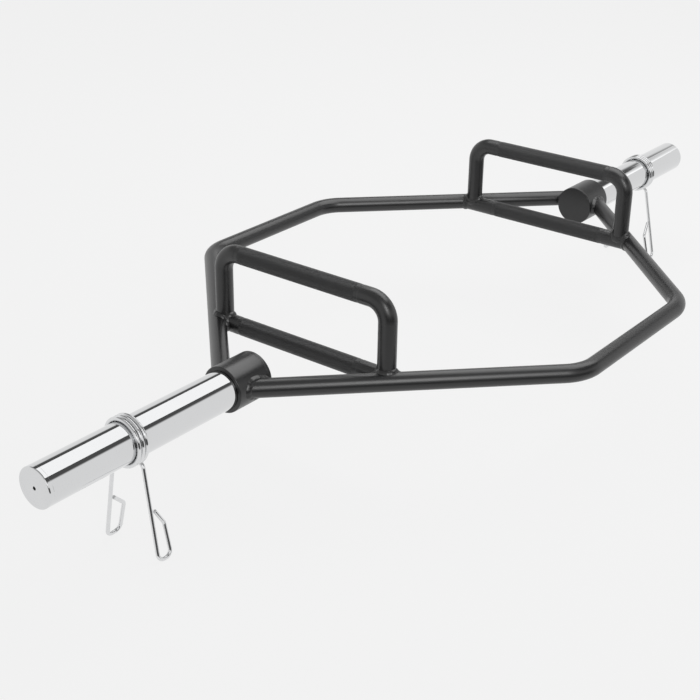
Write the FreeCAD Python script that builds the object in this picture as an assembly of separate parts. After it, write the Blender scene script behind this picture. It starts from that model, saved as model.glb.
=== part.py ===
"""Hex trap bar: a hexagon of bent round bar welded to two hubs, each with a chromed loading sleeve.

A raised handle and a lower grip cross the hexagon at each end, and a wire spring clip sits on each sleeve.
Millimetres. X runs along the sleeves from the left to the right, -Y is the front and +Z is up. The origin
lies below the middle of the hexagon, level with the lowest wire of the clips.
"""
import FreeCAD, Part

import math
import os

from FreeCAD import Vector

# Frame bars: the hexagon's sharp corners and bends, in the plane of the sleeve axis
bar_diameter = 24.0
leg_meeting_setback = 0.8
corner_reach = 134.0
corner_spread = 314.6
corner_bend_radius = 60.0

# Handles: one plane at each end, with a raised grip on two posts above a lower grip
handle_diameter = 24.0
handle_reach = 300.9
raised_grip_height = 100.8
post_setback = 15.46
handle_bend_radius = 26.0
post_foot_height = 6.0
lower_grip_diameter = 24.0
lower_grip_tip_trim = 1.5

# Hubs: a collar on the sleeve axis, closed by a welded disc at its inner end
hub_diameter = 60.0
hub_mouth_reach = 451.6
hub_inner_margin = 8.96
hub_cap_thickness = 5.0
hub_mouth_recess_depth = 0.8
hub_mouth_recess_gap = 0.8
bar_root_share = 0.35

# Loading sleeves: a tube with a stepped inner end pressed in the hub, and a plug in its outer end
sleeve_diameter = 50.0
sleeve_end_reach = 740.0
sleeve_wall = 6.0
spigot_step = 1.0
plug_flange_thickness = 6.0
plug_spigot_length = 14.0
plug_edge_radius = 1.5
centre_hole_diameter = 4.5
centre_hole_depth = 11.0

# Welds: the length of a bead's leg along each of the two surfaces that it joins
hub_weld_leg = 3.5
handle_weld_leg = 3.0

# Clip wire: a coil round the sleeve, with an arm at each end that is bent back into a finger loop
wire_diameter = 5.0
coil_turns = 3
coil_pitch = 5.8
coil_clearance = 0.6
arm_splay_degrees = 13.7
arm_drop = 145.4
arm_corner_run = 14.2
arm_root_bend_radius = 10.0
loop_width = 20.0
loop_bottom_radius = 8.4
loop_bend_reach = 110.0
loop_bend_radius = 8.0
loop_end_reach = 91.5
loop_end_gap = 0.9

# Clip places on the sleeves, from the middle, and the roll of each clip about the sleeve axis
left_clip_reach = 608.0
left_clip_roll_degrees = 0.7
right_clip_reach = 619.0
right_clip_roll_degrees = -1.2

# Overrun of cutting tools past the faces that they cut
cut_overrun = 5.0

X_AXIS = Vector(1, 0, 0)
Z_AXIS = Vector(0, 0, 1)
SIDES = (("left", -1), ("right", 1))
ENDS = (("front", -1), ("rear", 1))

leg_meeting_reach = hub_mouth_reach - leg_meeting_setback
leg_slope = corner_spread / (leg_meeting_reach - corner_reach)
lower_grip_spread = (leg_meeting_reach - handle_reach) * leg_slope
post_spread = lower_grip_spread - post_setback
bar_radius = bar_diameter / 2
handle_radius = handle_diameter / 2
lower_grip_radius = lower_grip_diameter / 2
hub_radius = hub_diameter / 2
leg_root_share = bar_root_share * hub_radius / corner_spread
leg_footprint = bar_diameter * math.hypot(1, leg_slope) / leg_slope
hub_inner_reach = leg_meeting_reach - hub_radius / leg_slope - leg_footprint / 2 - hub_inner_margin
sleeve_radius = sleeve_diameter / 2
spigot_radius = sleeve_radius - spigot_step
sleeve_bore_radius = sleeve_radius - sleeve_wall
wire_radius = wire_diameter / 2
coil_radius = sleeve_radius + coil_clearance + wire_radius
coil_length = coil_turns * coil_pitch
arm_splay = math.radians(arm_splay_degrees)
axis_height = arm_drop + wire_radius


def cylinder(start, end, radius):
    """Round bar between two points."""
    along = end - start
    return Part.makeCylinder(radius, along.Length, start, along)


def unit(vector):
    """The same direction with length one."""
    return vector * (1 / vector.Length)


def arc_from(start, handle, end):
    """Arc that leaves start towards handle and arrives at end from it, with handle as far from both."""
    middle = (start + end) * 0.5
    turn = unit(handle - start).getAngle(unit(end - start))
    crown = middle + (handle - middle) * (math.tan(turn / 2) / math.tan(turn))
    return Part.Arc(start, crown, end).toShape()


def bent_path(points, radii):
    """Straight runs between the points, joined at the inner points by tangent arcs of the given radii."""
    edges = []
    run_start = points[0]
    for before, corner, after, radius in zip(points, points[1:], points[2:], radii):
        back = unit(before - corner)
        ahead = unit(after - corner)
        setback = radius / math.tan(back.getAngle(ahead) / 2)
        arc_start = corner + back * setback
        arc_end = corner + ahead * setback
        edges.append(Part.LineSegment(run_start, arc_start).toShape())
        edges.append(arc_from(arc_start, corner, arc_end))
        run_start = arc_end
    edges.append(Part.LineSegment(run_start, points[-1]).toShape())
    return Part.Wire(edges)


def biarc(start, start_way, end, end_way):
    """Two tangent arcs from start to end that keep the direction given at each."""
    across = end - start
    both = start_way + end_way
    spread = 2 * (1 - start_way.dot(end_way))
    pull = across.dot(both)
    reach = (math.sqrt(pull * pull + spread * across.dot(across)) - pull) / spread
    start_handle = start + start_way * reach
    end_handle = end - end_way * reach
    joint = (start_handle + end_handle) * 0.5
    return [arc_from(start, start_handle, joint), arc_from(joint, end_handle, end)]


def round_wire(path, way, radius):
    """Solid of a round section swept along a path that starts in the given direction."""
    first = path.Edges[0]
    section = Part.Circle(first.valueAt(first.FirstParameter), way, radius).toShape()
    return path.makePipeShell([Part.Wire(section)], True, False)


def bent_bar(points, bend_radius, radius):
    """Round bar bent to the same radius at every inner point."""
    path = bent_path(points, [bend_radius] * (len(points) - 2))
    return round_wire(path, points[1] - points[0], radius)


def coil_point(turn):
    """Point of the coil's centreline after some turns from its hub end, and its direction there."""
    angle = -math.pi / 2 + 2 * math.pi * turn
    spread = coil_radius * math.cos(angle)
    rise = coil_radius * math.sin(angle)
    place = Vector(coil_length / 2 - coil_pitch * turn, spread, rise)
    return place, unit(Vector(-coil_pitch / (2 * math.pi), -rise, spread))


def coil_ends():
    """Place and outward direction of the coil's front and rear end, in the clip's own frame."""
    front, front_way = coil_point(0)
    rear, rear_way = coil_point(coil_turns)
    return (front, front_way * -1), (rear, rear_way)


def coil():
    """Spring coil of the clip: whole turns in quarters, with a short straight end towards each arm."""
    (front, front_out), (rear, rear_out) = coil_ends()
    stops = [coil_point(quarter / 4) for quarter in range(4 * coil_turns + 1)]
    edges = [Part.LineSegment(front + front_out * wire_diameter, front).toShape()]
    for (start, start_way), (end, end_way) in zip(stops, stops[1:]):
        edges += biarc(start, start_way, end, end_way)
    edges.append(Part.LineSegment(rear, rear + rear_out * wire_diameter).toShape())
    return round_wire(Part.Wire(edges), front_out * -1, wire_radius)


def coil_gap():
    """Least gap between one turn of the coil and another, its straight ends included."""
    (front, front_out), (rear, rear_out) = coil_ends()
    steps = 90
    line = [front + front_out * wire_diameter, front + front_out * wire_radius]
    line += [coil_point(step / steps)[0] for step in range(coil_turns * steps + 1)]
    line += [rear + rear_out * wire_radius, rear + rear_out * wire_diameter]
    apart = steps // 2
    pairs = ((one, other) for k, one in enumerate(line) for other in line[k + apart:])
    return min(one.distanceToPoint(other) for one, other in pairs) - wire_diameter


def clip_placement(side, height):
    """Where the clip of one side sits: facing its hub, rolled about the sleeve and slid to its place."""
    reach = left_clip_reach if side < 0 else right_clip_reach
    roll = left_clip_roll_degrees if side < 0 else right_clip_roll_degrees
    facing = FreeCAD.Rotation(Z_AXIS, 0 if side < 0 else 180)
    turned = FreeCAD.Rotation(X_AXIS, roll).multiply(facing)
    return FreeCAD.Placement(Vector(side * reach, 0, height), turned)


def arm_points(side, end):
    """Corners of an arm's centreline, from the coil to its loop's tip: end -1 is the front, 1 the rear.

    An arm is as long as it takes for its loop to hang level with the others, whatever the clip's roll.
    """
    place, out = coil_ends()[0 if end < 0 else 1]
    corner = place + out * arm_corner_run
    down = Vector(0, end * math.sin(arm_splay), -math.cos(arm_splay))
    root_drop = corner.dot(down)
    hang = clip_placement(side, 0).Rotation
    arm_reach = root_drop - (arm_drop + hang.multVec(corner).z) / hang.multVec(down).z

    def in_loop(hubward, reach):
        level = corner + down * (reach - root_drop)
        return Vector(hubward, level.y, level.z)

    lean_share = (arm_reach - loop_end_reach) / (arm_reach - root_drop)
    tip_hubward = corner.x * lean_share + wire_diameter + loop_end_gap
    return [
        place + out * wire_diameter,
        corner,
        in_loop(0, arm_reach),
        in_loop(loop_width, arm_reach),
        in_loop(loop_width, loop_bend_reach),
        in_loop(tip_hubward, loop_end_reach),
    ]


def arm(side, end):
    """Clip arm with its finger loop."""
    points = arm_points(side, end)
    bends = [arm_root_bend_radius, loop_bottom_radius, loop_bottom_radius, loop_bend_radius]
    return round_wire(bent_path(points, bends), points[1] - points[0], wire_radius)


def on_axis(reach, spread=0, rise=0):
    """Point given from the middle of the hexagon, in the plane of the sleeve axis unless it rises."""
    return Vector(reach, spread, axis_height + rise)


def leg_point(side, end, share):
    """Point on a leg's centreline: share 0 where it meets the sleeve axis, 1 at the hexagon's corner."""
    meeting = on_axis(side * leg_meeting_reach)
    corner = on_axis(side * corner_reach, end * corner_spread)
    return meeting + (corner - meeting) * share


def leg(side, end, radius):
    """Straight leg of the hexagon, from its root in the hub to the corner."""
    return cylinder(leg_point(side, end, leg_root_share), leg_point(side, end, 1), radius)


def lower_grip_bar(side, shortening):
    """Round bar of the lower grip, shortened at each end from where its centreline meets a leg's."""
    spread = lower_grip_spread - shortening
    start = on_axis(side * handle_reach, -spread)
    return cylinder(start, on_axis(side * handle_reach, spread), lower_grip_radius)


def hub_envelope(side, radius, overrun=0):
    """Outline of a hub, collar and cap together, at some radius and with some overrun past its ends."""
    inner = on_axis(side * (hub_inner_reach - overrun))
    return cylinder(inner, on_axis(side * (hub_mouth_reach + overrun)), radius)


def frame_bar(end):
    """One half of the hexagon: two legs and a long side, coped to fit the hubs."""
    points = [
        leg_point(-1, end, leg_root_share),
        leg_point(-1, end, 1),
        leg_point(1, end, 1),
        leg_point(1, end, leg_root_share),
    ]
    bar = bent_bar(points, corner_bend_radius, bar_radius)
    for _, side in SIDES:
        bar = bar.cut(hub_envelope(side, hub_radius, bar_diameter))
    return bar


def hub_collar(side):
    """Collar that holds the sleeve, with a shallow recess round the sleeve at its mouth."""
    cap_face = on_axis(side * (hub_inner_reach + hub_cap_thickness))
    mouth = on_axis(side * hub_mouth_reach)
    before = on_axis(side * hub_inner_reach)
    past = on_axis(side * (hub_mouth_reach + cut_overrun))
    recess_floor = on_axis(side * (hub_mouth_reach - hub_mouth_recess_depth))
    collar = cylinder(cap_face, mouth, hub_radius).cut(cylinder(before, past, spigot_radius))
    return collar.cut(cylinder(recess_floor, past, sleeve_radius + hub_mouth_recess_gap))


def hub_cap(side):
    """Disc that closes the inner end of the hub."""
    inner = on_axis(side * hub_inner_reach)
    return cylinder(inner, on_axis(side * (hub_inner_reach + hub_cap_thickness)), hub_radius)


def sleeve_tube(side):
    """Loading sleeve: a tube whose thinner inner end fills the collar up to the hub's mouth."""
    inner = hub_inner_reach + hub_cap_thickness
    shoulder = hub_mouth_reach - hub_mouth_recess_depth
    outer = sleeve_end_reach - plug_flange_thickness
    spigot = cylinder(on_axis(side * inner), on_axis(side * shoulder), spigot_radius)
    body = cylinder(on_axis(side * shoulder), on_axis(side * outer), sleeve_radius)
    bore = cylinder(
        on_axis(side * (inner - cut_overrun)), on_axis(side * (outer + cut_overrun)), sleeve_bore_radius
    )
    return spigot.fuse(body).cut(bore).removeSplitter()


def sleeve_end_plug(side):
    """Plug with a flange as wide as the sleeve, a rounded edge and a centre hole."""
    face = on_axis(side * sleeve_end_reach)
    seat = sleeve_end_reach - plug_flange_thickness
    flange = cylinder(on_axis(side * seat), face, sleeve_radius)
    rim = [edge for edge in flange.Edges if abs(edge.CenterOfMass.x - face.x) < plug_edge_radius
           and len(edge.Vertexes) == 1]
    flange = flange.makeFillet(plug_edge_radius, rim)
    spigot = cylinder(on_axis(side * (seat - plug_spigot_length)), on_axis(side * seat), sleeve_bore_radius)
    hole = cylinder(
        on_axis(side * (sleeve_end_reach - centre_hole_depth)),
        on_axis(side * (sleeve_end_reach + cut_overrun)),
        centre_hole_diameter / 2,
    )
    return flange.fuse(spigot).cut(hole).removeSplitter()


def lower_grip(side):
    """Straight grip across the hexagon, coped to fit the legs, with the copes' thin tips trimmed off."""
    bar = lower_grip_bar(side, lower_grip_tip_trim)
    return bar.cut(leg(side, -1, bar_radius)).cut(leg(side, 1, bar_radius))


def raised_handle(side):
    """Raised grip bent down into two posts, whose feet are coped to fit the lower grip and the legs."""
    points = [
        on_axis(side * handle_reach, -post_spread, post_foot_height),
        on_axis(side * handle_reach, -post_spread, raised_grip_height),
        on_axis(side * handle_reach, post_spread, raised_grip_height),
        on_axis(side * handle_reach, post_spread, post_foot_height),
    ]
    handle = bent_bar(points, handle_bend_radius, handle_radius).cut(lower_grip_bar(side, 0))
    return handle.cut(leg(side, -1, bar_radius)).cut(leg(side, 1, bar_radius))


def hub_welds(side):
    """Bead round the root of each leg, in the corner between the leg and the hub."""
    hub = hub_envelope(side, hub_radius)
    beads = []
    for _, end in ENDS:
        ring = leg(side, end, bar_radius + hub_weld_leg)
        ring = ring.common(hub_envelope(side, hub_radius + hub_weld_leg))
        beads.append(ring.cut(leg(side, end, bar_radius)).cut(hub))
    return Part.makeCompound(beads)


def foot_bead(foot, post_top):
    """Bead round a post's foot, not yet fitted to what it stands on: a band that tapers to the post."""
    band_top = lower_grip_radius - post_foot_height
    profile = [
        foot + X_AXIS * handle_radius,
        foot + X_AXIS * (handle_radius + handle_weld_leg),
        foot + X_AXIS * (handle_radius + handle_weld_leg) + Z_AXIS * band_top,
        foot + X_AXIS * handle_radius + Z_AXIS * (band_top + handle_weld_leg),
    ]
    return Part.Face(Part.makePolygon(profile + profile[:1])).revolve(foot, post_top - foot, 360)


def handle_welds(side):
    """Weld at each end of a handle, run round the lower grip's end and the foot of the post above it."""
    middle = on_axis(side * handle_reach)
    grip = lower_grip_bar(side, -cut_overrun)
    beads = []
    for _, end in ENDS:
        foot = on_axis(side * handle_reach, end * post_spread, post_foot_height)
        post_top = foot + Z_AXIS * raised_grip_height
        bar = leg(side, end, bar_radius)
        bead_end = on_axis(side * handle_reach, end * (lower_grip_spread - handle_weld_leg))
        end_bead = cylinder(middle, bead_end, lower_grip_radius + handle_weld_leg)
        end_bead = end_bead.common(leg(side, end, bar_radius + handle_weld_leg))
        end_bead = end_bead.cut(bar).cut(grip).cut(cylinder(foot, post_top, handle_radius))
        beads.append(end_bead.fuse(foot_bead(foot, post_top).cut(bar).cut(grip)).removeSplitter())
    return Part.makeCompound(beads)


def clip_nodes(name, side):
    """The clip's coil and its two arms, named by the side of the sleeve that each arm hangs on."""
    placed = clip_placement(side, axis_height)
    nodes = {f"{name}_clip_coil": coil()}
    for end_name, end in ENDS:
        nodes[f"{name}_clip_{end_name}_arm"] = arm(side, -side * end)
    for shape in nodes.values():
        shape.Placement = placed
    return nodes


def build():
    """All the pieces of the bar, by node name."""
    nodes = {f"{end_name}_frame_bar": frame_bar(end) for end_name, end in ENDS}
    for name, side in SIDES:
        nodes[f"{name}_hub_collar"] = hub_collar(side)
        nodes[f"{name}_hub_cap"] = hub_cap(side)
        nodes[f"{name}_sleeve_tube"] = sleeve_tube(side)
        nodes[f"{name}_sleeve_end_plug"] = sleeve_end_plug(side)
        nodes[f"{name}_raised_handle"] = raised_handle(side)
        nodes[f"{name}_lower_grip"] = lower_grip(side)
        nodes[f"{name}_hub_welds"] = hub_welds(side)
        nodes[f"{name}_handle_welds"] = handle_welds(side)
        nodes.update(clip_nodes(name, side))
    return nodes


os.makedirs("parts", exist_ok=True)
for node_name, node_shape in build().items():
    node_shape.exportStep(f"parts/{node_name}.step")
print(f"sleeve axis {axis_height:.3f} mm above the lowest wire")
print(f"least gap between the clip coil's turns {coil_gap():.3f} mm")
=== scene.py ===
"""Looks of a hex trap bar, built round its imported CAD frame: painted bars and welds, knurled grips,
chromed sleeves and wire spring clips, on a pale floor in soft studio light.

Metres. X runs along the sleeves from the left end to the right end, -Y is the front and +Z is up.
"""

import math

import bmesh
import bpy
from bpy.props import FloatProperty, FloatVectorProperty, IntProperty, PointerProperty
from mathutils import Euler, Matrix, Vector


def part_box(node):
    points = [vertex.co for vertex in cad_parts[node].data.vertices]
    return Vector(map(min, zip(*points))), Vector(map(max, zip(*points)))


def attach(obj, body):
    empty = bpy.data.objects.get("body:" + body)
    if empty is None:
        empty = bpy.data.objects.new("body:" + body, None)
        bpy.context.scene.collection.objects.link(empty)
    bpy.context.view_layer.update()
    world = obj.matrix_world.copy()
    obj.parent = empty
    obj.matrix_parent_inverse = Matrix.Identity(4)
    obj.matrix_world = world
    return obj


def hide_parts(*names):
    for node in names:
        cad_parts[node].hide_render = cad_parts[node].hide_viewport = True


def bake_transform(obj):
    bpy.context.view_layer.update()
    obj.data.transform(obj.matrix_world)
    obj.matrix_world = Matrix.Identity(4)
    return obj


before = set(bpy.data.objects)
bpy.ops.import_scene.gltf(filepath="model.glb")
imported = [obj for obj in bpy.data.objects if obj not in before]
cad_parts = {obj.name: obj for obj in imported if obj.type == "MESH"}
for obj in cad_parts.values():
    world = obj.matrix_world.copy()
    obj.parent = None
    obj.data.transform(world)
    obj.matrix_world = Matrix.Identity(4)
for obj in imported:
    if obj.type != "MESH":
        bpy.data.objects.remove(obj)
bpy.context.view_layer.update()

bl_info = {
    "name": "Hex Trap Bar",
    "version": (1, 0, 0),
    "blender": (4, 5, 0),
    "location": "3D View > Sidebar > Trap Bar",
    "description": "Models the painted, knurled and chromed pieces of a hex trap bar",
    "category": "Add Mesh",
}

SIDES = (("left", -1), ("right", 1))
ENDS = (("front", -1), ("rear", 1))
X_AXIS = Vector((1, 0, 0))
Y_AXIS = Vector((0, 1, 0))
Z_AXIS = Vector((0, 0, 1))

# How finely round forms are divided
BAR_SEGMENTS = 48
HUB_SEGMENTS = 96
SLEEVE_SEGMENTS = 128
WIRE_SEGMENTS = 20
RIM_SEGMENTS = 4
FLOOR_SEGMENTS = 96
KNURL_CELLS_ROUND = 36
COIL_STEPS_PER_TURN = 72
DEGREES_PER_BEND_STEP = 4

# How closely a face, a point or an open ring has to fit to be picked, and doubles to be merged
SQUARE_ON = 0.9
SAME_PLACE = 1e-5
SAME_RING = 0.0005
DOUBLED = 1e-6

# How high up a lower grip's sides its welds reach, and how weld drops waver in size along a seam
WELDED_RISE = 0.8
RIPPLE_SHARE = 0.02
RIPPLE_STEP = 1.7

# How far from a rounded edge or joint the cut that holds its shading lies, in roundings
EDGE_HOLD = 1.3
JOINT_HOLD = 2


def span(node, axis):
    """Lowest and highest place of a CAD node along one axis."""
    low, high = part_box(node)
    return low[axis], high[axis]


def middle(node, axis):
    """Place halfway along a CAD node on one axis."""
    return sum(span(node, axis)) / 2


def half_span(node, axis):
    """Half of a CAD node's extent along one axis."""
    low, high = span(node, axis)
    return (high - low) / 2


def length(name, default, description):
    """A length in metres that a user may change."""
    return FloatProperty(
        name=name, description=description, default=default, min=0, unit="LENGTH", precision=5
    )


def slant(name, degrees, description):
    """An angle that a user may change, with its default in degrees."""
    return FloatProperty(
        name=name, description=description, default=math.radians(degrees), subtype="ANGLE"
    )


def colour(name, default, description):
    """A plain colour that a user may change."""
    return FloatVectorProperty(
        name=name, description=description, default=default, size=3, min=0, max=1, subtype="COLOR"
    )


class TrapBarSizes(bpy.types.PropertyGroup):
    """Sizes of the frame, handles, hubs, sleeves and welds."""

    axis_height: length(
        "Axis height", middle("right_sleeve_tube", 2), "Height of the sleeve axis above the floor"
    )
    bar_radius: length(
        "Bar radius", half_span("right_lower_grip", 0), "Radius of the frame's and handles' bar"
    )
    leg_meeting_reach: length(
        "Leg meeting", 0.4508, "Where the lines of two legs meet, from the middle"
    )
    corner_reach: length(
        "Corner reach", 0.134, "Sharp corner of the hexagon, from the middle along X"
    )
    corner_spread: length(
        "Corner spread", 0.3146, "Sharp corner of the hexagon, from the middle along Y"
    )
    corner_bend: length("Corner bend", 0.060, "Bend radius of the frame bars' centreline")
    leg_root_reach: length("Leg root", 0.4400, "Where a leg ends inside its hub, from the middle")
    handle_reach: length(
        "Handle reach", middle("right_lower_grip", 0), "Plane of a handle, from the middle"
    )
    post_spread: length("Post spread", 0.1334, "Post of a raised handle, from the middle along Y")
    handle_bend: length("Handle bend", 0.026, "Bend radius of the raised handle's centreline")
    raised_grip_rise: length(
        "Raised grip", 0.1008, "Raised grip's centreline above the sleeve axis"
    )
    post_foot_rise: length("Post foot", 0.006, "Lowest point of a post above the sleeve axis")
    knurl_length: length("Knurl length", 0.200, "Length of the knurled zone on each grip")
    knurl_offset: length(
        "Knurl offset", 0.006, "How far the knurled zone lies from the grip's middle"
    )
    knurl_depth: length("Knurl depth", 0.00046, "Height of a knurl diamond above its valleys")
    knurl_sink: length(
        "Knurl sink", 0.00024, "Depth of the knurl's valleys below the bar's surface"
    )
    knurl_fade: length(
        "Knurl fade", 0.006, "Length over which the knurl grows shallow towards its ends"
    )
    edge_round: length("Edge round", 0.0012, "Rounding of the hubs' painted edges")
    joint_round: length(
        "Joint round", 0.0003, "Rounding on both sides of a joint between two pieces"
    )
    plug_joint_round: length(
        "Plug joint", 0.00004, "Rounding at the fine joint of the sleeve and its plug"
    )
    recess_gap: length(
        "Mouth recess", 0.0008, "Width and depth of the recess round the sleeve in the hub's mouth"
    )
    sleeve_wall: length("Sleeve wall", 0.006, "Wall thickness of the sleeve tube")
    plug_edge: length("Plug edge", 0.0015, "Rounding of the sleeve's end")
    plug_flange: length("Plug flange", 0.006, "Thickness of the end plug's flange")
    centre_hole_radius: length(
        "Centre hole", 0.00225, "Radius of the turning centre in the sleeve's end"
    )
    centre_hole_depth: length("Hole depth", 0.011, "Depth of the turning centre")
    hub_bead: length("Hub bead", 0.0045, "Width of the weld on the leg and on the hub")
    handle_bead: length(
        "Handle bead", 0.0040, "Width of the welds at the handles' ends on both bars"
    )
    bead_sink: length(
        "Bead sink", 0.003, "Depth of a weld drop's middle below the two surfaces that it joins"
    )
    bead_step: length("Bead step", 0.0022, "Spacing of the ripples along a weld bead")


class ClipSizes(bpy.types.PropertyGroup):
    """Sizes of the wire spring clips and their places on the sleeves."""

    wire_radius: length("Wire radius", 0.0025, "Radius of the clip's wire")
    coil_radius: length("Coil radius", 0.0281, "Radius of the coil's centreline")
    coil_turns: IntProperty(name="Turns", description="Whole turns of the coil", default=3, min=1)
    coil_pitch: length("Coil pitch", 0.0058, "Advance of the coil along the sleeve in one turn")
    arm_splay: slant("Arm splay", 13.7, "Lean of each arm away from the other")
    arm_drop: length("Arm drop", 0.1454, "Lowest centreline of the loops below the sleeve axis")
    corner_run: length(
        "Corner run", 0.0142, "Straight wire from the coil's end to the arm's corner"
    )
    root_bend: length("Root bend", 0.010, "Bend radius between the coil and an arm")
    loop_width: length("Loop width", 0.020, "Distance of the loop's outer side from the arm")
    loop_bottom: length("Loop bottom", 0.0084, "Bend radius at the bottom of a loop")
    loop_bend_reach: length(
        "Loop bend", 0.110, "Where the loop's outer side turns back, from the sleeve axis"
    )
    loop_bend: length("Loop bend radius", 0.008, "Bend radius where the loop turns back")
    loop_end_reach: length(
        "Loop end", 0.0915, "Where the wire ends at its arm, from the sleeve axis"
    )
    loop_end_gap: length("Loop end gap", 0.0009, "Gap between the wire's end and its arm")
    left_roll: slant("Left roll", 0.7, "Roll of the left clip about its sleeve")
    right_roll: slant("Right roll", -1.2, "Roll of the right clip about its sleeve")


class FinishColours(bpy.types.PropertyGroup):
    """Colours of the finishes and of the studio."""

    paint: colour("Paint", (0.0060, 0.0060, 0.0063), "Satin black powder coat")
    # Lighter coat: random wear on the texture's highs, and also a painted sheen over the knurled
    # zones.
    paint_worn_and_sheen: colour(
        "Paint highs", (0.0130, 0.0130, 0.0136), "Thinner powder coat on the texture's highs"
    )
    chrome: colour("Chrome", (0.70, 0.705, 0.71), "Polished chrome of the sleeves")
    chrome_dull: colour("Chrome haze", (0.64, 0.645, 0.655), "Handled patches of the chrome")
    wire: colour("Wire", (0.745, 0.75, 0.755), "Bright plated wire of the clips")
    wire_dull: colour("Wire haze", (0.62, 0.625, 0.635), "Drawing marks along the wire")
    floor: colour("Floor", (0.888, 0.888, 0.888), "Floor and backdrop")


class Wire:
    """A shader socket that Python's operators act on, in the node tree that it belongs to."""

    def __init__(self, tree, socket):
        self.tree = tree
        self.socket = socket

    def sum_up(self, operation, first, second):
        """A Math node on two values, either of which may be a plain number."""
        maths = self.tree.nodes.new("ShaderNodeMath")
        maths.operation = operation
        for slot, value in zip(maths.inputs, (first, second)):
            feed(self.tree, slot, value)
        return Wire(self.tree, maths.outputs[0])

    def __add__(self, other):
        return self.sum_up("ADD", self, other)

    def __radd__(self, other):
        return self.sum_up("ADD", other, self)

    def __sub__(self, other):
        return self.sum_up("SUBTRACT", self, other)

    def __rsub__(self, other):
        return self.sum_up("SUBTRACT", other, self)

    def __mul__(self, other):
        return self.sum_up("MULTIPLY", self, other)

    def __rmul__(self, other):
        return self.sum_up("MULTIPLY", other, self)

    def __truediv__(self, other):
        return self.sum_up("DIVIDE", self, other)

    def __rtruediv__(self, other):
        return self.sum_up("DIVIDE", other, self)

    def __pow__(self, other):
        return self.sum_up("POWER", self, other)

    def __rpow__(self, other):
        return self.sum_up("POWER", other, self)

    def __gt__(self, other):
        return self.sum_up("GREATER_THAN", self, other)

    def __lt__(self, other):
        return self.sum_up("LESS_THAN", self, other)


def feed(tree, slot, value):
    """Link a socket to another one, or set it to a plain value."""
    if isinstance(value, Wire):
        tree.links.new(value.socket, slot)
    else:
        slot.default_value = value


def feed_node(tree, node, **inputs):
    """Link or set sockets of a node, which are given by identifier or by name."""
    for key, value in inputs.items():
        slot = next(
            s for s in node.inputs
            if s.identifier == key or s.name.replace(" ", "_") == key and s.enabled
        )
        feed(tree, slot, value)


def add_node(tree, kind, settings=None, **inputs):
    """Add a node of a type: its settings are set first, then the values or links of its sockets.
    Returns its outputs by name."""
    node = tree.nodes.new(kind)
    for key, value in (settings or {}).items():
        setattr(node, key, value)
    feed_node(tree, node, **inputs)
    return {out.name: Wire(tree, out) for out in node.outputs if out.enabled}


def seen_directly(tree):
    """1 where the camera, a mirror or glass looks at a surface, 0 where it only lights another."""
    path = add_node(tree, "ShaderNodeLightPath")
    return path["Is Camera Ray"] + path["Is Glossy Ray"] + path["Is Transmission Ray"] > 0.5


def soft_step(tree, value, low, high):
    """0 below a low value, 1 above a high one, and smooth between them."""
    step = {"interpolation_type": "SMOOTHSTEP"}
    return add_node(
        tree, "ShaderNodeMapRange", step, Value=value, From_Min=low, From_Max=high
    )["Result"]


def shade_of(rgb):
    """A colour property as a colour with full alpha."""
    return (*rgb, 1)


def new_finish(name):
    """An empty material with its shader, and the object's own coordinates."""
    finish = bpy.data.materials.new(name)
    finish.use_nodes = True
    tree = finish.node_tree
    shader = tree.nodes["Principled BSDF"]
    place = add_node(tree, "ShaderNodeTexCoord")["Object"]
    return finish, tree, shader, place


def noise(tree, place, scale, detail):
    """Value noise around a half, with features about one over its scale in metres."""
    return add_node(tree, "ShaderNodeTexNoise", Vector=place, Scale=scale, Detail=detail)["Fac"]


def blend_colours(tree, mask, first, second):
    """Mix two colours, or colour sockets, by a mask."""
    rgba = {"data_type": "RGBA"}
    return add_node(
        tree, "ShaderNodeMix", rgba, Factor_Float=mask, A_Color=first, B_Color=second
    )["Result"]


def texture(tree, height, strength, distance):
    """Bump of the surface by a height."""
    return add_node(
        tree, "ShaderNodeBump", Height=height, Strength=strength, Distance=distance
    )["Normal"]


def powder_coat(name, knurled):
    """Satin black powder coat with a fine orange peel, duller on the knurl and lighter there: a
    little wear and a painted sheen.
    """
    colours = bpy.context.scene.trap_bar_colours
    sizes = bpy.context.scene.trap_bar_sizes
    finish, tree, shader, place = new_finish(name)
    cloud = noise(tree, place, scale=9.0, detail=3.0)
    grain = noise(tree, place, scale=900.0, detail=2.0)
    orange_peel = noise(tree, place, scale=330.0, detail=1.0)
    satin = 0.28
    roughness = satin + 0.05 * cloud + 0.04 * grain
    # Random wear from the grain; the knurl below adds a painted sheen to it.
    wear_and_sheen = 0.6 * grain
    if knurled:
        axes = add_node(tree, "ShaderNodeSeparateXYZ", Vector=place)
        middle_of_knurl = sizes.knurl_offset * (1 - 2 * (axes["X"] > 0))
        from_middle = ((axes["Y"] - middle_of_knurl) ** 2) ** 0.5
        end_of_knurl = sizes.knurl_length / 2
        fade_in, fade_out = 0.004, 0.012
        off_knurl = soft_step(tree, from_middle, end_of_knurl - fade_in, end_of_knurl + fade_out)
        on_knurl = 1 - off_knurl
        roughness = roughness + 0.12 * on_knurl
        # Painted sheen: the knurl is coloured lighter to stand in for the light that its rough facets
        # catch.
        wear_and_sheen = wear_and_sheen + 0.4 * on_knurl
    tint = blend_colours(tree, wear_and_sheen, shade_of(colours.paint), shade_of(colours.paint_worn_and_sheen))
    peel = 0.7 * orange_peel + 0.3 * grain
    bump = texture(tree, peel, strength=0.06, distance=0.0004)
    feed_node(tree, shader, Base_Color=tint, Roughness=roughness, Normal=bump, IOR=1.56)
    return finish


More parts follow.
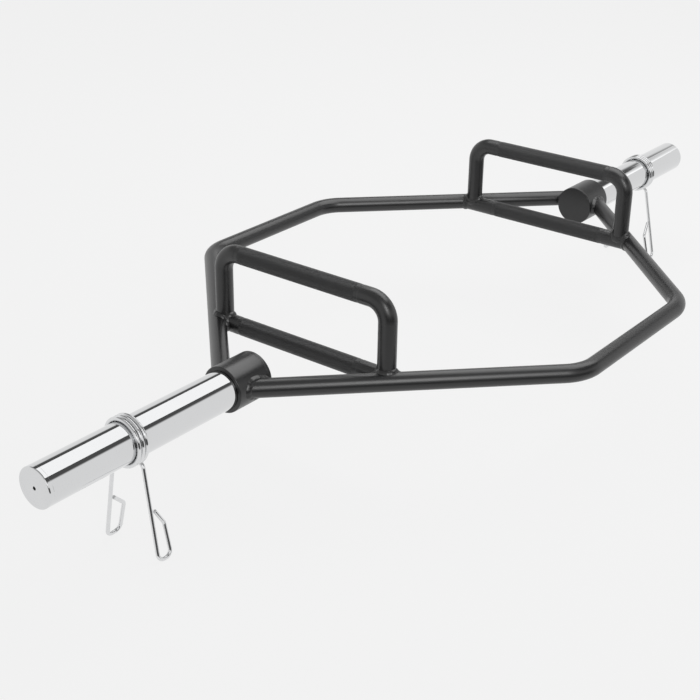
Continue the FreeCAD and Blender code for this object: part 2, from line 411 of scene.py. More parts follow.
def polished_chrome():
    """Polished chrome with a faint haze and very fine lines left by the polishing."""
    colours = bpy.context.scene.trap_bar_colours
    finish, tree, shader, place = new_finish("polished_chrome")
    haze = noise(tree, place, scale=14.0, detail=4.0)
    finest_along_x = (1200.0, 90.0, 90.0)
    stretched = add_node(tree, "ShaderNodeMapping", Vector=place, Scale=finest_along_x)["Vector"]
    lines = noise(tree, stretched, scale=1.0, detail=3.0)
    dulled = haze * lines
    tint = blend_colours(tree, dulled, shade_of(colours.chrome), shade_of(colours.chrome_dull))
    mirror = 0.035
    roughness = mirror + 0.05 * dulled
    bump = texture(tree, lines, strength=0.015, distance=0.0002)
    feed_node(tree, shader, Base_Color=tint, Roughness=roughness, Normal=bump, Metallic=1.0)
    return finish


def turned_chrome():
    """Chrome over a turned face: fine rings about the sleeve axis, and a slightly satin sheen."""
    colours = bpy.context.scene.trap_bar_colours
    sizes = bpy.context.scene.trap_bar_sizes
    finish, tree, shader, place = new_finish("turned_chrome")
    axes = add_node(tree, "ShaderNodeSeparateXYZ", Vector=place)
    rise = axes["Z"] - sizes.axis_height
    from_axis = (axes["Y"] * axes["Y"] + rise * rise) ** 0.5
    outwards = add_node(tree, "ShaderNodeCombineXYZ", X=from_axis)["Vector"]
    rings = noise(tree, outwards, scale=2600.0, detail=2.0)
    haze = noise(tree, place, scale=40.0, detail=3.0)
    on_face = from_axis < half_span("right_sleeve_tube", 1) - sizes.plug_edge
    dulled = rings * haze
    tint = blend_colours(tree, dulled, shade_of(colours.chrome), shade_of(colours.chrome_dull))
    mirror, satin = 0.04, 0.06
    roughness = mirror + on_face * (satin + 0.08 * dulled)
    bump = texture(tree, on_face * rings, strength=0.03, distance=0.0002)
    feed_node(tree, shader, Base_Color=tint, Roughness=roughness, Normal=bump, Metallic=1.0)
    return finish


def plated_wire():
    """Bright plated spring wire with small dull patches and drawing marks."""
    colours = bpy.context.scene.trap_bar_colours
    finish, tree, shader, place = new_finish("plated_wire")
    patches = noise(tree, place, scale=160.0, detail=4.0)
    specks = noise(tree, place, scale=1400.0, detail=2.0)
    dulled = patches * specks
    tint = blend_colours(tree, dulled, shade_of(colours.wire), shade_of(colours.wire_dull))
    bright = 0.08
    roughness = bright + 0.14 * dulled
    bump = texture(tree, specks, strength=0.05, distance=0.0002)
    feed_node(tree, shader, Base_Color=tint, Roughness=roughness, Normal=bump, Metallic=1.0)
    return finish


BRIGHT_METAL = ("polished_chrome", "turned_chrome", "plated_wire")


def finish_named(name):
    """The finish of that name, made when it is first used."""
    makers = {
        "satin_black_paint": lambda: powder_coat("satin_black_paint", False),
        "knurled_black_paint": lambda: powder_coat("knurled_black_paint", True),
        "polished_chrome": polished_chrome,
        "turned_chrome": turned_chrome,
        "plated_wire": plated_wire,
    }
    return bpy.data.materials.get(name) or makers[name]()


def start_edit():
    """Put the new primitive's place in its mesh and go into edit mode with all of it selected."""
    bpy.ops.object.transform_apply(location=True, rotation=True, scale=True)
    bpy.ops.object.mode_set(mode="EDIT")
    bpy.ops.mesh.select_all(action="SELECT")
    return bpy.context.object


def add_ring(centre, way, radius, segments):
    """Open circle across a direction, selected, to be pushed along a run."""
    bpy.ops.object.select_all(action="DESELECT")
    turned = way.to_track_quat("Z", "Y").to_euler()
    bpy.ops.mesh.primitive_circle_add(
        vertices=segments, radius=radius, location=centre, rotation=turned
    )
    return start_edit()


def add_rod(start, end, radius, segments, ends):
    """Cylinder between two points, selected, with its ends filled or open."""
    bpy.ops.object.select_all(action="DESELECT")
    along = end - start
    bpy.ops.mesh.primitive_cylinder_add(
        vertices=segments,
        radius=radius,
        depth=along.length,
        end_fill_type=ends,
        location=(start + end) / 2,
        rotation=along.to_track_quat("Z", "Y").to_euler(),
    )
    return start_edit()


def pick(piece, kind, test):
    """Select only the vertices, edges or faces that pass a test."""
    bpy.ops.mesh.select_mode(type={"verts": "VERT", "edges": "EDGE", "faces": "FACE"}[kind])
    bpy.ops.mesh.select_all(action="DESELECT")
    mesh = bmesh.from_edit_mesh(piece.data)
    mesh.normal_update()
    found = [item for item in getattr(mesh, kind) if test(item)]
    if not found:
        raise RuntimeError(f"{piece.name}: none of its {kind} pass the test")
    for item in found:
        item.select_set(True)
    bmesh.update_edit_mesh(piece.data)


def edge_middle(edge):
    """Point halfway along an edge."""
    return (edge.verts[0].co + edge.verts[1].co) / 2


def is_end_disc(face, way, radius):
    """Whether a face is the full disc at the end of a round piece that looks along a direction."""
    return face.normal.dot(way) > SQUARE_ON and face.calc_area() > radius * radius


def push(offset):
    """Extrude what is selected by an offset."""
    bpy.ops.mesh.extrude_region_move(TRANSFORM_OT_translate={"value": offset})


def follow(corners, bends):
    """Push the selected ring along straight runs, and spin it round a bend at each inner corner."""
    here = corners[0]
    for before, corner, after, bend in zip(corners, corners[1:], corners[2:], bends):
        arriving = (corner - before).normalized()
        leaving = (after - corner).normalized()
        turn = arriving.angle(leaving)
        setback = bend * math.tan(turn / 2)
        bend_start = corner - arriving * setback
        inward = (leaving - arriving * leaving.dot(arriving)).normalized()
        push(bend_start - here)
        bpy.ops.mesh.spin(
            steps=math.ceil(math.degrees(turn) / DEGREES_PER_BEND_STEP),
            angle=turn,
            center=bend_start + inward * bend,
            axis=leaving.cross(arriving),
        )
        here = corner + leaving * setback
    push(corners[-1] - here)


def round_rim(piece, centre, radius, rounding):
    """Bevel the rim of a piece that is round about X, at the end with that centre."""

    def on_rim(vert):
        off_axis = (vert.co - centre).length
        return abs(vert.co.x - centre.x) < SAME_PLACE and abs(off_axis - radius) < SAME_PLACE

    pick(piece, "edges", lambda e: all(on_rim(v) for v in e.verts))
    bpy.ops.mesh.bevel(offset=rounding, segments=RIM_SEGMENTS, affect="EDGES")


def hold_shape(place):
    """Cut a ring across X, so that the shading of a rounded edge stays on its own side of it."""
    bpy.ops.mesh.select_mode(type="VERT")
    bpy.ops.mesh.select_all(action="SELECT")
    bpy.ops.mesh.bisect(plane_co=place, plane_no=X_AXIS)


def pick_open_end(piece, way):
    """Select the open ring furthest along a direction."""
    mesh = bmesh.from_edit_mesh(piece.data)
    furthest = max(edge_middle(e).dot(way) for e in mesh.edges if e.is_boundary)
    pick(piece, "edges", lambda e: e.is_boundary and edge_middle(e).dot(way) > furthest - SAME_RING)


def close_mesh(smooth_angle=35):
    """Merge doubles, fill what is open, turn the faces outwards and smooth all but sharp edges."""
    bpy.ops.mesh.select_mode(type="VERT")
    bpy.ops.mesh.select_all(action="SELECT")
    bpy.ops.mesh.remove_doubles(threshold=DOUBLED)
    bpy.ops.mesh.fill_holes(sides=0)
    bpy.ops.mesh.select_all(action="SELECT")
    bpy.ops.mesh.normals_make_consistent(inside=False)
    bpy.ops.object.mode_set(mode="OBJECT")
    bpy.ops.object.shade_smooth_by_angle(angle=math.radians(smooth_angle))


def finish_piece(piece, name, finish, node):
    """Name a piece, give it its finish, and let it stand for its CAD node."""
    piece.name = name
    piece.data.name = name
    piece.data.materials.clear()
    piece.data.materials.append(finish_named(finish))
    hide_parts(node)


def finish_on_frame(piece, name, finish, node):
    """Finish a piece that moves with the welded frame."""
    finish_piece(piece, name, finish, node)
    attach(piece, "frame")


def on_axis(sizes, reach, spread=0.0, rise=0.0):
    """Point given from the middle of the hexagon and from the height of the sleeve axis."""
    return Vector((reach, spread, sizes.axis_height + rise))


def leg_line(sizes, side, end):
    """Where a leg's centreline meets the sleeve axis, and its direction to the corner."""
    meeting = on_axis(sizes, side * sizes.leg_meeting_reach)
    corner = on_axis(sizes, side * sizes.corner_reach, end * sizes.corner_spread)
    return meeting, (corner - meeting).normalized()


def grip_meeting(sizes):
    """Where a lower grip's centreline meets a leg's, from the middle along Y."""
    slope = sizes.corner_spread / (sizes.leg_meeting_reach - sizes.corner_reach)
    return (sizes.leg_meeting_reach - sizes.handle_reach) * slope


class TRAPBAR_OT_frame_bars(bpy.types.Operator):
    """Bend the two painted bars of the hexagon"""

    bl_idname = "trapbar.frame_bars"
    bl_label = "Frame Bars"

    def execute(self, context):
        sizes = context.scene.trap_bar_sizes
        for end_name, end in ENDS:
            corners = []
            for side in (-1, 1):
                meeting, way = leg_line(sizes, side, end)
                root_inset = sizes.leg_meeting_reach - sizes.leg_root_reach
                root = meeting + way * (root_inset / abs(way.x))
                corner = on_axis(sizes, side * sizes.corner_reach, end * sizes.corner_spread)
                corners += [root, corner] if side < 0 else [corner, root]
            piece = add_ring(corners[0], corners[1] - corners[0], sizes.bar_radius, BAR_SEGMENTS)
            follow(corners, [sizes.corner_bend] * 2)
            close_mesh()
            finish_on_frame(piece, f"{end_name}_bar", "satin_black_paint", f"{end_name}_frame_bar")
        return {"FINISHED"}


class TRAPBAR_OT_hubs(bpy.types.Operator):
    """Model the hub collars with their recessed mouths, and the discs that close them"""

    bl_idname = "trapbar.hubs"
    bl_label = "Hubs"

    def execute(self, context):
        sizes = context.scene.trap_bar_sizes
        for name, side in SIDES:
            out = X_AXIS * side
            radius = half_span(f"{name}_hub_collar", 1)
            inner, mouth = sorted(span(f"{name}_hub_collar", 0), key=abs)
            sleeve_radius = half_span(f"{name}_sleeve_tube", 1)
            edge_hold = EDGE_HOLD * sizes.edge_round
            joint_hold = JOINT_HOLD * sizes.joint_round

            start, end = on_axis(sizes, inner), on_axis(sizes, mouth)
            collar = add_rod(start, end, radius, HUB_SEGMENTS, "NGON")
            pick(collar, "faces", lambda f: f.normal.dot(out) > SQUARE_ON)
            bpy.ops.mesh.inset(thickness=edge_hold)
            bpy.ops.mesh.inset(thickness=radius - sleeve_radius - sizes.recess_gap - edge_hold)
            push(out * -sizes.recess_gap)
            bpy.ops.mesh.inset(thickness=2 * sizes.recess_gap)
            push(out * -(abs(mouth - inner) - 3 * sizes.recess_gap))
            pick(collar, "faces", lambda f: is_end_disc(f, -out, radius))
            bpy.ops.mesh.inset(thickness=joint_hold)
            round_rim(collar, end, radius, sizes.edge_round)
            round_rim(collar, start, radius, sizes.joint_round)
            hold_shape(end - out * edge_hold)
            hold_shape(start + out * joint_hold)
            close_mesh()
            finish_on_frame(collar, f"{name}_collar", "satin_black_paint", f"{name}_hub_collar")

            inner, outer = sorted(span(f"{name}_hub_cap", 0), key=abs)
            start, end = on_axis(sizes, inner), on_axis(sizes, outer)
            cap = add_rod(start, end, radius, HUB_SEGMENTS, "NGON")
            pick(cap, "faces", lambda f: abs(f.normal.x) > SQUARE_ON)
            bpy.ops.mesh.inset(thickness=edge_hold)
            round_rim(cap, start, radius, sizes.edge_round)
            round_rim(cap, end, radius, sizes.joint_round)
            hold_shape(start + out * edge_hold)
            hold_shape(end - out * joint_hold)
            close_mesh()
            finish_on_frame(cap, f"{name}_cap", "satin_black_paint", f"{name}_hub_cap")
        return {"FINISHED"}


class TRAPBAR_OT_sleeves(bpy.types.Operator):
    """Turn the chromed loading sleeves and the plugs in their ends"""

    bl_idname = "trapbar.sleeves"
    bl_label = "Sleeves"

    def execute(self, context):
        sizes = context.scene.trap_bar_sizes
        for name, side in SIDES:
            out = X_AXIS * side
            radius = half_span(f"{name}_sleeve_tube", 1)
            inner, outer = sorted(span(f"{name}_sleeve_tube", 0), key=abs)
            start, end = on_axis(sizes, inner), on_axis(sizes, outer)
            tube = add_rod(start, end, radius, SLEEVE_SEGMENTS, "NGON")
            pick(tube, "faces", lambda f: abs(f.normal.x) > SQUARE_ON)
            bpy.ops.mesh.inset(thickness=sizes.sleeve_wall)
            bpy.ops.mesh.delete(type="FACE")
            pick(tube, "edges", lambda e: e.is_boundary)
            bpy.ops.mesh.bridge_edge_loops()
            round_rim(tube, end, radius, sizes.plug_joint_round)
            hold_shape(end - out * sizes.joint_round)
            close_mesh()
            finish_on_frame(tube, f"{name}_sleeve", "polished_chrome", f"{name}_sleeve_tube")

            spigot_end, face = sorted(span(f"{name}_sleeve_end_plug", 0), key=abs)
            seat = face - side * sizes.plug_flange
            start, end = on_axis(sizes, seat), on_axis(sizes, face)
            plug = add_rod(start, end, radius, SLEEVE_SEGMENTS, "NGON")
            round_rim(plug, end, radius, sizes.plug_edge)
            round_rim(plug, start, radius, sizes.plug_joint_round)
            pick(plug, "faces", lambda f: is_end_disc(f, -out, radius))
            bpy.ops.mesh.inset(thickness=sizes.sleeve_wall - sizes.plug_joint_round)
            push(out * -abs(seat - spigot_end))
            hold_shape(end - out * (EDGE_HOLD * sizes.plug_edge))
            hold_shape(start + out * sizes.joint_round)
            pick(plug, "faces", lambda f: is_end_disc(f, out, radius))
            bpy.ops.mesh.inset(thickness=sizes.joint_round)
            face_width = radius - sizes.plug_edge - sizes.centre_hole_radius
            bpy.ops.mesh.inset(thickness=face_width - 3 * sizes.joint_round)
            bpy.ops.mesh.inset(thickness=sizes.joint_round)
            bpy.ops.mesh.inset(thickness=sizes.joint_round, depth=-sizes.joint_round)
            push(out * -sizes.centre_hole_depth)
            close_mesh()
            finish_on_frame(plug, f"{name}_end_plug", "turned_chrome", f"{name}_sleeve_end_plug")
        return {"FINISHED"}


def add_knurled_rod(sizes, centre):
    """Open knurled cylinder along Y: rings of squares are turned into diamonds, each diamond into a
    pyramid, and the pyramids are smoothed away towards both ends."""
    radius = sizes.bar_radius - sizes.knurl_sink
    half = Y_AXIS * (sizes.knurl_length / 2)
    rod = add_rod(centre - half, centre + half, radius, KNURL_CELLS_ROUND, "NOTHING")
    pitch = 2 * math.pi * radius / KNURL_CELLS_ROUND
    pick(rod, "edges", lambda e: e.calc_length() > sizes.knurl_length / 2)
    bpy.ops.mesh.subdivide(number_cuts=round(sizes.knurl_length / pitch) - 1)
    bpy.ops.mesh.select_all(action="SELECT")
    bpy.ops.mesh.poke()
    between = radius * math.cos(math.pi / KNURL_CELLS_ROUND / 2)

    def outside(vert):
        return math.hypot(vert.co.x - centre.x, vert.co.z - centre.z) > between

    pick(rod, "edges", lambda e: not e.is_boundary and all(outside(v) for v in e.verts))
    bpy.ops.mesh.dissolve_edges(use_verts=False)
    pick(rod, "faces", lambda f: len(f.verts) == 4)
    bpy.ops.mesh.poke(offset=sizes.knurl_depth)
    for share in (1.0, 0.67, 0.33):
        fades_from = sizes.knurl_length / 2 - share * sizes.knurl_fade
        pick(rod, "verts", lambda v: not v.is_boundary and abs(v.co.y - centre.y) > fades_from)
        bpy.ops.mesh.vertices_smooth(factor=0.5, repeat=2)
    return rod


def run_out(rod, sizes, centre, end):
    """Step up from an end of the knurl to the plain bar, whose ring stays selected. Returns its
    centre."""
    way = Y_AXIS * end
    pick_open_end(rod, way)
    ring_centre = centre + way * (sizes.knurl_length / 2)
    step = way * (2 * sizes.knurl_sink)
    push(step)
    grow = sizes.bar_radius / (sizes.bar_radius - sizes.knurl_sink)
    bpy.ops.transform.resize(value=(grow, 1, grow), center_override=ring_centre + step)
    push(step)
    return ring_centre + step * 2


class TRAPBAR_OT_raised_handles(bpy.types.Operator):
    """Knurl the raised grips and bend their ends down into posts"""

    bl_idname = "trapbar.raised_handles"
    bl_label = "Raised Handles"

    def execute(self, context):
        sizes = context.scene.trap_bar_sizes
        for name, side in SIDES:
            reach = side * sizes.handle_reach
            centre = on_axis(sizes, reach, -side * sizes.knurl_offset, sizes.raised_grip_rise)
            handle = add_knurled_rod(sizes, centre)
            for end in (-1, 1):
                start = run_out(handle, sizes, centre, end)
                corner = on_axis(sizes, reach, end * sizes.post_spread, sizes.raised_grip_rise)
                foot = on_axis(sizes, reach, end * sizes.post_spread, sizes.post_foot_rise)
                follow([start, corner, foot], [sizes.handle_bend])
            close_mesh()
            finish_on_frame(
                handle, f"{name}_upper_handle", "knurled_black_paint", f"{name}_raised_handle"
            )
        return {"FINISHED"}


class TRAPBAR_OT_lower_grips(bpy.types.Operator):
    """Knurl the lower grips and run their plain ends into the legs"""

    bl_idname = "trapbar.lower_grips"
    bl_label = "Lower Grips"

    def execute(self, context):
        sizes = context.scene.trap_bar_sizes
        for name, side in SIDES:
            reach = side * sizes.handle_reach
            centre = on_axis(sizes, reach, -side * sizes.knurl_offset)
            grip = add_knurled_rod(sizes, centre)
            for end in (-1, 1):
                start = run_out(grip, sizes, centre, end)
                follow([start, on_axis(sizes, reach, end * grip_meeting(sizes))], [])
            close_mesh()
            finish_on_frame(
                grip, f"{name}_straight_grip", "knurled_black_paint", f"{name}_lower_grip"
            )
        return {"FINISHED"}


def sunk(sizes, corner, *ways_out):
    """Middle of a weld drop: below the corner of two surfaces, so that it fills it nearly flat."""
    return corner - sum((way.normalized() for way in ways_out), Vector()) * sizes.bead_sink


def drop_angles(sizes, stretch):
    """Angles of weld drops round a bar, along a seam that is longer than the bar's girth."""
    steps = round(2 * math.pi * sizes.bar_radius * stretch / sizes.bead_step)
    return [2 * math.pi * step / steps for step in range(steps)]


def hub_seam(sizes, side, end, hub_radius):
    """Weld drops round a leg's root where its surface meets the hub's."""
    meeting, way = leg_line(sizes, side, end)
    flat = Z_AXIS.cross(way)
    seam = []
    for angle in drop_angles(sizes, stretch=1.2):
        off_bar = flat * math.cos(angle) + Z_AXIS * math.sin(angle)
        on_bar = meeting + off_bar * sizes.bar_radius
        rise = on_bar.z - sizes.axis_height
        spread = end * math.sqrt(hub_radius * hub_radius - rise * rise)
        corner = on_bar + way * ((spread - on_bar.y) / way.y)
        seam.append(sunk(sizes, corner, off_bar, Vector((0, spread, rise))))
    return seam


def foot_seam(sizes, side, end):
    """Weld drops round a post's foot, on the lower grip and the leg under it."""
    reach = side * sizes.handle_reach
    meeting, way = leg_line(sizes, side, end)
    across = Z_AXIS.cross(way)
    radius = sizes.bar_radius
    seam = []
    for angle in drop_angles(sizes, stretch=1.1):
        off_post = X_AXIS * math.cos(angle) + Y_AXIS * math.sin(angle)
        point = on_axis(sizes, reach, end * sizes.post_spread) + off_post * radius
        aside = across * (point - meeting).dot(across)
        if abs(point.y) < grip_meeting(sizes) and abs(point.x - reach) < aside.length:
            aside = X_AXIS * (point.x - reach)
        rise = math.sqrt(radius * radius - min(aside.length, radius) ** 2)
        lift = Z_AXIS * max(rise, sizes.post_foot_rise)
        seam.append(sunk(sizes, point + lift, off_post, aside + lift))
    return seam


def grip_seam(sizes, side, end):
    """Weld drops round a lower grip's end where it meets the leg, beside the post's foot."""
    reach = side * sizes.handle_reach
    meeting, way = leg_line(sizes, side, end)
    across = Z_AXIS.cross(way)
    if across.dot(on_axis(sizes, reach) - meeting) < 0:
        across = -across
    radius = sizes.bar_radius
    seam = []
    for angle in drop_angles(sizes, stretch=1.3):
        if abs(math.sin(angle)) > WELDED_RISE:
            continue
        off_grip = X_AXIS * math.cos(angle) + Z_AXIS * math.sin(angle)
        off_leg = across * abs(math.cos(angle)) + Z_AXIS * math.sin(angle)
        point = on_axis(sizes, reach) + off_grip * radius
        shift = (off_leg * radius - (point - meeting)).dot(across) / across.y
        seam.append(sunk(sizes, point + Y_AXIS * shift, off_grip, off_leg))
    return seam


def add_bead(sizes, seams, width):
    """Weld beads: overlapping drops laid along each seam, then melted into one skin."""
    radius = math.hypot(width + sizes.bead_sink, sizes.bead_sink)
    bpy.ops.object.select_all(action="DESELECT")
    bpy.ops.mesh.primitive_ico_sphere_add(subdivisions=3, radius=radius)
    drop = bpy.context.object
    drops = []
    for seam in seams:
        for k, place in enumerate(seam):
            copy = drop.copy()
            copy.data = drop.data.copy()
            copy.location = place
            copy.scale = [1 + RIPPLE_SHARE * math.sin(RIPPLE_STEP * k)] * 3
            bpy.context.collection.objects.link(copy)
            drops.append(copy)
    bpy.data.objects.remove(drop)
    bpy.ops.object.select_all(action="DESELECT")
    for copy in drops:
        copy.select_set(True)
    bead = drops[0]
    bpy.context.view_layer.objects.active = bead
    bpy.ops.object.join()
    bpy.ops.object.transform_apply(location=True, rotation=True, scale=True)
    melt = bead.modifiers.new("melt", "REMESH")
    melt.mode = "VOXEL"
    melt.voxel_size = sizes.bead_step / 4
    bpy.ops.object.modifier_apply(modifier="melt")
    settle = bead.modifiers.new("settle", "SMOOTH")
    settle.iterations = 6
    bpy.ops.object.modifier_apply(modifier="settle")
    bpy.ops.object.mode_set(mode="EDIT")
    close_mesh(smooth_angle=60)
    return bead


class TRAPBAR_OT_welds(bpy.types.Operator):
    """Lay the weld beads at the hubs and at the handles' ends"""

    bl_idname = "trapbar.welds"
    bl_label = "Weld Beads"

    def execute(self, context):
        sizes = context.scene.trap_bar_sizes
        for name, side in SIDES:
            hub_radius = half_span(f"{name}_hub_collar", 1)
            seams = [hub_seam(sizes, side, end, hub_radius) for _, end in ENDS]
            bead = add_bead(sizes, seams, sizes.hub_bead)
            finish_on_frame(bead, f"{name}_hub_beads", "satin_black_paint", f"{name}_hub_welds")

            seams = [line(sizes, side, end) for _, end in ENDS for line in (foot_seam, grip_seam)]
            bead = add_bead(sizes, seams, sizes.handle_bead)
            finish_on_frame(
                bead, f"{name}_handle_beads", "satin_black_paint", f"{name}_handle_welds"
            )
        return {"FINISHED"}


def coil_ends(clip):
    """Place and outward direction of a coil's two ends in the clip's own frame, hub end first."""
    lean = clip.coil_pitch / (2 * math.pi * clip.coil_radius)
    half = clip.coil_turns * clip.coil_pitch / 2
    low = Z_AXIS * -clip.coil_radius
    out = Vector((lean, -1, 0)).normalized()
    return (X_AXIS * half + low, out), (X_AXIS * -half + low, -out)


def clip_matrix(clip, name, side):
    """Where a clip sits: turned to face its hub, rolled about the sleeve and slid to its place."""
    roll = clip.left_roll if side < 0 else clip.right_roll
    facing = Matrix.Rotation(0 if side < 0 else math.pi, 4, "Z")
    seat = on_axis(bpy.context.scene.trap_bar_sizes, middle(f"{name}_clip_coil", 0))
    return Matrix.Translation(seat) @ Matrix.Rotation(roll, 4, "X") @ facing


def arm_corners(clip, hang, end):
    """Corners of an arm's wire in the clip's frame, from the coil to the tip of its loop. The loops
    of all arms hang level."""
    place, out = coil_ends(clip)[0 if end < 0 else 1]
    corner = place + out * clip.corner_run
    down = Vector((0, end * math.sin(clip.arm_splay), -math.cos(clip.arm_splay)))
    root_drop = corner.dot(down)
    arm_reach = root_drop - (clip.arm_drop + (hang @ corner).z) / (hang @ down).z
    lean_share = (arm_reach - clip.loop_end_reach) / (arm_reach - root_drop)
    tip = corner.x * lean_share + 2 * clip.wire_radius + clip.loop_end_gap

    def in_loop(hubward, reach):
        level = corner + down * (reach - root_drop)
        return Vector((hubward, level.y, level.z))

    return [
        place + out * (2 * clip.wire_radius),
        corner,
        in_loop(0, arm_reach),
        in_loop(clip.loop_width, arm_reach),
        in_loop(clip.loop_width, clip.loop_bend_reach),
        in_loop(tip, clip.loop_end_reach),
    ]


class TRAPBAR_OT_clips(bpy.types.Operator):
    """Wind the spring clips' coils and bend their arms"""

    bl_idname = "trapbar.clips"
    bl_label = "Spring Clips"

    def execute(self, context):
        clip = context.scene.trap_bar_clips
        for name, side in SIDES:
            placed = clip_matrix(clip, name, side)
            coil = self.wind_coil(clip)
            coil.data.transform(placed)
            finish_piece(coil, f"{name}_clip_turns", "plated_wire", f"{name}_clip_coil")
            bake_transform(coil)

            for end_name, end in ENDS:
                corners = arm_corners(clip, placed.to_3x3(), -side * end)
                arm = add_ring(corners[0], corners[1] - corners[0], clip.wire_radius, WIRE_SEGMENTS)
                bends = [clip.root_bend, clip.loop_bottom, clip.loop_bottom, clip.loop_bend]
                follow(corners, bends)
                self.round_tip(clip, corners[-1], corners[-1] - corners[-2])
                close_mesh()
                arm.data.transform(placed)
                arm_name, arm_node = f"{name}_{end_name}_wire", f"{name}_clip_{end_name}_arm"
                finish_piece(arm, arm_name, "plated_wire", arm_node)
                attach(arm, f"{name}_{end_name}_arm")
        return {"FINISHED"}

    @staticmethod
    def round_tip(clip, tip, way):
        """Round the cut end of the wire over by half of its radius."""
        rounding = clip.wire_radius / 2
        along, radius = 0.0, clip.wire_radius
        for degrees in (30, 60, 90):
            angle = math.radians(degrees)
            along_before, radius_before = along, radius
            along = rounding * math.sin(angle)
            radius = clip.wire_radius - rounding * (1 - math.cos(angle))
            push(way.normalized() * (along - along_before))
            shrink = radius / radius_before
            bpy.ops.transform.resize(
                value=[shrink] * 3, center_override=tip + way.normalized() * along
            )

    @staticmethod
    def wind_coil(clip):
        """The coil in the clip's own frame: a ring screwed round the sleeve, with straight ends."""
        (hub_end, hub_out), (far_end, far_out) = coil_ends(clip)
        coil = add_ring(hub_end, Y_AXIS, clip.wire_radius, WIRE_SEGMENTS)
        bpy.ops.object.mode_set(mode="OBJECT")
        wind = coil.modifiers.new("wind", "SCREW")
        wind.axis = "X"
        wind.angle = 2 * math.pi
        wind.iterations = clip.coil_turns
        wind.screw_offset = -clip.coil_pitch
        wind.steps = wind.render_steps = COIL_STEPS_PER_TURN
        bpy.ops.object.modifier_apply(modifier="wind")
        bpy.ops.object.mode_set(mode="EDIT")
        thickness = 2 * clip.wire_radius
        for place, out in ((hub_end, hub_out), (far_end, far_out)):
            def at_end(edge):
                return edge.is_boundary and (edge_middle(edge) - place).length < thickness

            pick(coil, "edges", at_end)
            push(out * thickness)
        close_mesh()
        return coil


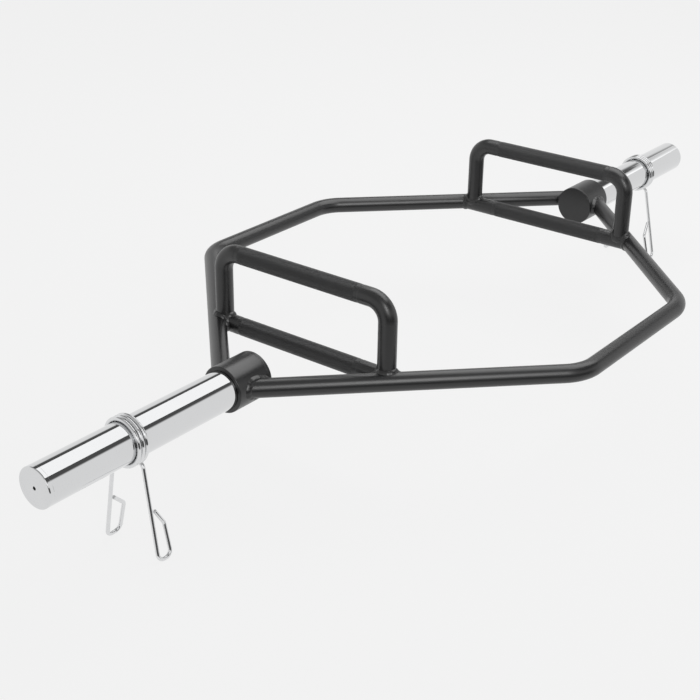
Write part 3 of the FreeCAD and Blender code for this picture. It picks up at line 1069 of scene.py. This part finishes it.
class TRAPBAR_OT_stage(bpy.types.Operator):
    """Set the pale floor, the studio light and the camera"""

    bl_idname = "trapbar.stage"
    bl_label = "Studio Stage"

    def execute(self, context):
        scene = context.scene
        scene.view_settings.view_transform = "Standard"
        self.lay_floor(scene.trap_bar_colours)
        self.light_world(scene)
        self.hang_lamps(scene)
        self.place_camera(scene)
        return {"FINISHED"}

    @staticmethod
    def lay_floor(colours):
        """Pale floor that reaches past the view, at the level of the lowest wire."""
        bpy.ops.object.select_all(action="DESELECT")
        far_past_view = 40
        bpy.ops.mesh.primitive_circle_add(
            vertices=FLOOR_SEGMENTS, radius=far_past_view, fill_type="NGON"
        )
        floor = start_edit()
        bpy.ops.object.mode_set(mode="OBJECT")
        floor.name = "floor"
        finish, tree, shader, _ = new_finish("pale_floor")
        pale = shade_of(colours.floor)
        feed_node(tree, shader, Base_Color=pale, Roughness=0.9, Specular_IOR_Level=0.0)
        glow = add_node(tree, "ShaderNodeEmission", Color=pale, Strength=1.0)["Emission"]
        lit = Wire(tree, shader.outputs["BSDF"])
        even_share = 0.95 * seen_directly(tree)
        mixed = add_node(
            tree, "ShaderNodeMixShader", Fac=even_share, Shader=lit, Shader_001=glow
        )["Shader"]
        feed_node(tree, tree.nodes["Material Output"], Surface=mixed)
        floor.data.materials.append(finish)
        floor.visible_glossy = False

    @staticmethod
    def light_world(scene):
        """Pale to the camera and plain as light. Gloss sees pale walls, a dark ceiling and side."""
        backdrop = shade_of(scene.trap_bar_colours.floor)
        plain_light = (0.45, 0.45, 0.45, 1)
        pale_wall = (0.92, 0.92, 0.92, 1)
        dark_room = (0.09, 0.09, 0.09, 1)
        dark_side = math.radians(-113)
        world = bpy.data.worlds.new("studio")
        scene.world = world
        world.use_nodes = True
        tree = world.node_tree
        tree.nodes.clear()
        way = add_node(tree, "ShaderNodeTexCoord")["Generated"]
        axes = add_node(tree, "ShaderNodeSeparateXYZ", Vector=way)
        level = (axes["X"] ** 2 + axes["Y"] ** 2) ** 0.5
        towards_dark = (math.cos(dark_side) * axes["X"] + math.sin(dark_side) * axes["Y"]) / level
        above_floor = soft_step(tree, axes["Z"], low=-0.36, high=-0.30)
        above_opening = soft_step(tree, axes["Z"], low=0.06, high=0.16)
        low_band = above_floor - above_opening
        opening = soft_step(tree, towards_dark, low=0.58, high=0.66) * low_band
        ceiling = soft_step(tree, axes["Z"], low=0.40, high=0.52)
        ceiling_depth = 0.45 + 0.55 * soft_step(tree, axes["X"], low=-0.10, high=0.25)
        studio = blend_colours(tree, ceiling * ceiling_depth + opening, pale_wall, dark_room)
        path = add_node(tree, "ShaderNodeLightPath")
        mirrored = path["Is Glossy Ray"] + path["Is Transmission Ray"] > 0.5
        unseen = blend_colours(tree, mirrored, plain_light, studio)
        seen = blend_colours(tree, path["Is Camera Ray"], unseen, backdrop)
        light = add_node(tree, "ShaderNodeBackground", Color=seen, Strength=1.0)["Background"]
        add_node(tree, "ShaderNodeOutputWorld", Surface=light)

    def hang_lamps(self, scene):
        """Panels above and in front, dimmer on bright metal so that it doesn't clip, which also
        has a pale far wall."""
        overhead = {"place": (0.86, 0.02, 1.65), "size": (1.72, 2.04), "target": (0.86, 0.02, 0.0)}
        front = {"place": (-2.4, -3.4, 2.6), "size": (1.6, 2.2), "target": (0.0, 0.0, 0.15)}
        far_wall = {"place": (3.1, -0.98, 1.49), "size": (2.45, 0.32), "target": (0.0, -0.98, 1.49)}
        pieces = [o for o in scene.objects if o.type == "MESH" and o.active_material]
        mirrors = [piece for piece in pieces if piece.active_material.name in BRIGHT_METAL]
        others = [piece for piece in pieces if piece not in mirrors]
        self.hang_lamp("overhead_panel", others, radiance=2.9, **overhead)
        self.hang_lamp("overhead_panel_in_metal", mirrors, radiance=1.2, **overhead)
        self.hang_lamp("front_panel", others, radiance=6.0, **front)
        self.hang_lamp("front_panel_in_metal", mirrors, radiance=1.1, **front)
        self.hang_lamp("far_wall", mirrors, radiance=0.6, **far_wall)

    @staticmethod
    def hang_lamp(name, pieces, radiance, place, size, target):
        """A soft rectangular lamp of even radiance that faces a point and lights some pieces."""
        lamp = bpy.data.lights.new(name, "AREA")
        lamp.shape = "RECTANGLE"
        lamp.size, lamp.size_y = size
        lamp.energy = radiance * math.pi * size[0] * size[1]
        holder = bpy.data.objects.new(name, lamp)
        bpy.context.collection.objects.link(holder)
        holder.location = place
        holder.rotation_euler = (Vector(target) - Vector(place)).to_track_quat("-Z", "Y").to_euler()
        lit = bpy.data.collections.new(f"{name}_falls_on")
        for piece in pieces:
            lit.objects.link(piece)
        holder.light_linking.receiver_collection = lit

    @staticmethod
    def place_camera(scene):
        """Camera at the photograph's viewing angle."""
        focal_length, film_width = 69.953, 36.0
        place = (-1.502911, -1.004012, 0.902258)
        turned_degrees = (64.20185, -0.67852, -52.01686)
        lens = bpy.data.cameras.new("camera")
        lens.lens = focal_length
        lens.sensor_fit = "HORIZONTAL"
        lens.sensor_width = film_width
        camera = bpy.data.objects.new("camera", lens)
        bpy.context.collection.objects.link(camera)
        camera.location = place
        camera.rotation_euler = Euler([math.radians(angle) for angle in turned_degrees])
        scene.camera = camera


class TRAPBAR_PT_sidebar(bpy.types.Panel):
    """Lists the pieces of the trap bar in the order in which they are made"""

    bl_idname = "TRAPBAR_PT_sidebar"
    bl_label = "Trap Bar"
    bl_space_type = "VIEW_3D"
    bl_region_type = "UI"
    bl_category = "Trap Bar"

    def draw(self, context):
        for operator in OPERATORS:
            self.layout.operator(operator.bl_idname)


OPERATORS = (
    TRAPBAR_OT_frame_bars,
    TRAPBAR_OT_hubs,
    TRAPBAR_OT_sleeves,
    TRAPBAR_OT_raised_handles,
    TRAPBAR_OT_lower_grips,
    TRAPBAR_OT_welds,
    TRAPBAR_OT_clips,
    TRAPBAR_OT_stage,
)
GROUPS = {
    "trap_bar_sizes": TrapBarSizes,
    "trap_bar_clips": ClipSizes,
    "trap_bar_colours": FinishColours,
}


def register():
    for group_name, group in GROUPS.items():
        bpy.utils.register_class(group)
        setattr(bpy.types.Scene, group_name, PointerProperty(type=group))
    for operator in OPERATORS:
        bpy.utils.register_class(operator)
    bpy.utils.register_class(TRAPBAR_PT_sidebar)


def unregister():
    bpy.utils.unregister_class(TRAPBAR_PT_sidebar)
    for operator in reversed(OPERATORS):
        bpy.utils.unregister_class(operator)
    for group_name, group in GROUPS.items():
        delattr(bpy.types.Scene, group_name)
        bpy.utils.unregister_class(group)


def main():
    """Make every piece in order."""
    register()
    for operator in OPERATORS:
        family, verb = operator.bl_idname.split(".")
        getattr(getattr(bpy.ops, family), verb)()


if __name__ == "__main__":
    main()
